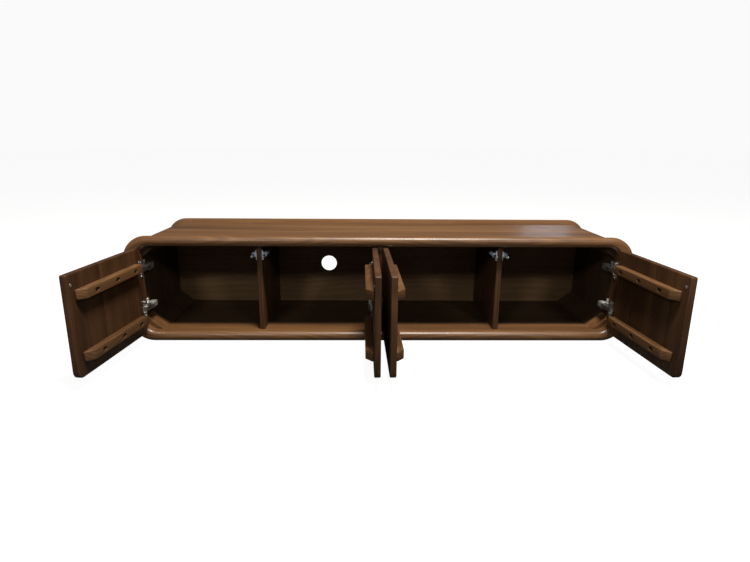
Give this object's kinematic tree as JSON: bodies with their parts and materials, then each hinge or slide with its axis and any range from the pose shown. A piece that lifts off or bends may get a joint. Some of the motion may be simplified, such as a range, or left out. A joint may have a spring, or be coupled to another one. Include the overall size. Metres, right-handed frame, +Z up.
{
  "type": "tv stand with doors",
  "caption": "Low long wooden TV stand with rolled rims, rounded ends, compartments, plank doors on cup hinges and push latches.",
  "frame": {"origin": "centre of the flat underside", "axes": "+X along the length to the right when facing the doors, +Y towards the back, +Z up"},
  "size_m": [1.8, 0.8775, 0.385],
  "materials": {
    "walnut_outside": "satin lacquered walnut",
    "walnut_inside": "thin satin lacquer",
    "door_walnut": "satin lacquered walnut planks",
    "batten_wood": "thin satin lacquer",
    "nickelled_steel": "nickel plated",
    "plunger_steel": "zinc plated",
    "latch_plastic": "moulded grey plastic"
  },
  "bodies": {
    "carcass": {"top_board": "walnut_outside", "bottom_board": "walnut_outside", "side_left": "walnut_outside", "side_right": "walnut_outside", "corner_top_left": "walnut_outside", "corner_top_right": "walnut_outside", "corner_bottom_left": "walnut_outside", "corner_bottom_right": "walnut_outside", "back_panel": "walnut_inside", "partition_left": "walnut_inside", "partition_centre": "walnut_inside", "partition_right": "walnut_inside", "door_1_hinge_arm_lower": "nickelled_steel", "door_1_hinge_arm_upper": "nickelled_steel", "latch_1_body": "latch_plastic", "door_2_hinge_arm_lower": "nickelled_steel", "door_2_hinge_arm_upper": "nickelled_steel", "latch_2_body": "latch_plastic", "door_3_hinge_arm_lower": "nickelled_steel", "door_3_hinge_arm_upper": "nickelled_steel", "latch_3_body": "latch_plastic", "door_4_hinge_arm_lower": "nickelled_steel", "door_4_hinge_arm_upper": "nickelled_steel", "latch_4_body": "latch_plastic"},
    "door_1": {"door_1_panel": "door_walnut", "door_1_strike_plate": "nickelled_steel", "door_1_hinge_cup_lower": "nickelled_steel", "door_1_batten_lower": "batten_wood", "door_1_hinge_cup_upper": "nickelled_steel", "door_1_batten_upper": "batten_wood"},
    "door_1_links": {"door_1_hinge_link_lower": "nickelled_steel", "door_1_hinge_link_upper": "nickelled_steel"},
    "latch_1_plunger": {"latch_1_plunger": "plunger_steel"},
    "door_2": {"door_2_panel": "door_walnut", "door_2_strike_plate": "nickelled_steel", "door_2_hinge_cup_lower": "nickelled_steel", "door_2_batten_lower": "batten_wood", "door_2_hinge_cup_upper": "nickelled_steel", "door_2_batten_upper": "batten_wood"},
    "door_2_links": {"door_2_hinge_link_lower": "nickelled_steel", "door_2_hinge_link_upper": "nickelled_steel"},
    "latch_2_plunger": {"latch_2_plunger": "plunger_steel"},
    "door_3": {"door_3_panel": "door_walnut", "door_3_strike_plate": "nickelled_steel", "door_3_hinge_cup_lower": "nickelled_steel", "door_3_batten_lower": "batten_wood", "door_3_hinge_cup_upper": "nickelled_steel", "door_3_batten_upper": "batten_wood"},
    "door_3_links": {"door_3_hinge_link_lower": "nickelled_steel", "door_3_hinge_link_upper": "nickelled_steel"},
    "latch_3_plunger": {"latch_3_plunger": "plunger_steel"},
    "door_4": {"door_4_panel": "door_walnut", "door_4_strike_plate": "nickelled_steel", "door_4_hinge_cup_lower": "nickelled_steel", "door_4_batten_lower": "batten_wood", "door_4_hinge_cup_upper": "nickelled_steel", "door_4_batten_upper": "batten_wood"},
    "door_4_links": {"door_4_hinge_link_lower": "nickelled_steel", "door_4_hinge_link_upper": "nickelled_steel"},
    "latch_4_plunger": {"latch_4_plunger": "plunger_steel"}
  },
  "joints": [
    {"name": "door_1_hinge", "type": "hinge", "parent": "carcass", "child": "door_1", "pos_m": [-0.848, -0.2235, 0], "axis": [0, 0, -1], "range_deg": [-95.4, 4.6]},
    {"name": "door_1_link_pin", "type": "hinge", "parent": "door_1", "child": "door_1_links", "pos_m": [-0.83623, -0.24771, 0], "axis": [0, 0, -1], "range_deg": [-4.62, 85.88]},
    {"name": "latch_1_slide", "type": "slide", "parent": "carcass", "child": "latch_1_plunger", "axis": [0, -1, 0], "range_m": [-0.0365, 0.00224]},
    {"name": "door_2_hinge", "type": "hinge", "parent": "carcass", "child": "door_2", "pos_m": [-0.00975, -0.2235, 0], "axis": [0, 0, 1], "range_deg": [-90.5, 0.5]},
    {"name": "door_2_link_pin", "type": "hinge", "parent": "door_2", "child": "door_2_links", "pos_m": [-0.02355, -0.24662, 0], "axis": [0, 0, 1], "range_deg": [-0.95, 81.5]},
    {"name": "latch_2_slide", "type": "slide", "parent": "carcass", "child": "latch_2_plunger", "axis": [0, -1, 0], "range_m": [-0.0365, 0.0007]},
    {"name": "door_3_hinge", "type": "hinge", "parent": "carcass", "child": "door_3", "pos_m": [0.00975, -0.2235, 0], "axis": [0, 0, -1], "range_deg": [-88.5, 2.5]},
    {"name": "door_3_link_pin", "type": "hinge", "parent": "door_3", "child": "door_3_links", "pos_m": [0.02435, -0.24613, 0], "axis": [0, 0, -1], "range_deg": [-2.74, 79.71]},
    {"name": "latch_3_slide", "type": "slide", "parent": "carcass", "child": "latch_3_plunger", "axis": [0, -1, 0], "range_m": [-0.0365, 0.00152]},
    {"name": "door_4_hinge", "type": "hinge", "parent": "carcass", "child": "door_4", "pos_m": [0.848, -0.2235, 0], "axis": [0, 0, 1], "range_deg": [-93.5, 6.5]},
    {"name": "door_4_link_pin", "type": "hinge", "parent": "door_4", "child": "door_4_links", "pos_m": [0.83543, -0.24731, 0], "axis": [0, 0, 1], "range_deg": [-6.32, 84.18]},
    {"name": "latch_4_slide", "type": "slide", "parent": "carcass", "child": "latch_4_plunger", "axis": [0, -1, 0], "range_m": [-0.0365, 0.003]}
  ],
  "couplings": [
    {"joint": "door_1_link_pin", "follows": "door_1_hinge", "ratio": -0.895},
    {"joint": "latch_1_slide", "follows": "door_1_hinge", "m_per_rad": 0.021621},
    {"joint": "door_2_link_pin", "follows": "door_2_hinge", "ratio": -0.895},
    {"joint": "latch_2_slide", "follows": "door_2_hinge", "m_per_rad": 0.022792},
    {"joint": "door_3_link_pin", "follows": "door_3_hinge", "ratio": -0.895},
    {"joint": "latch_3_slide", "follows": "door_3_hinge", "m_per_rad": 0.023307},
    {"joint": "door_4_link_pin", "follows": "door_4_hinge", "ratio": -0.895},
    {"joint": "latch_4_slide", "follows": "door_4_hinge", "m_per_rad": 0.02206}
  ]
}
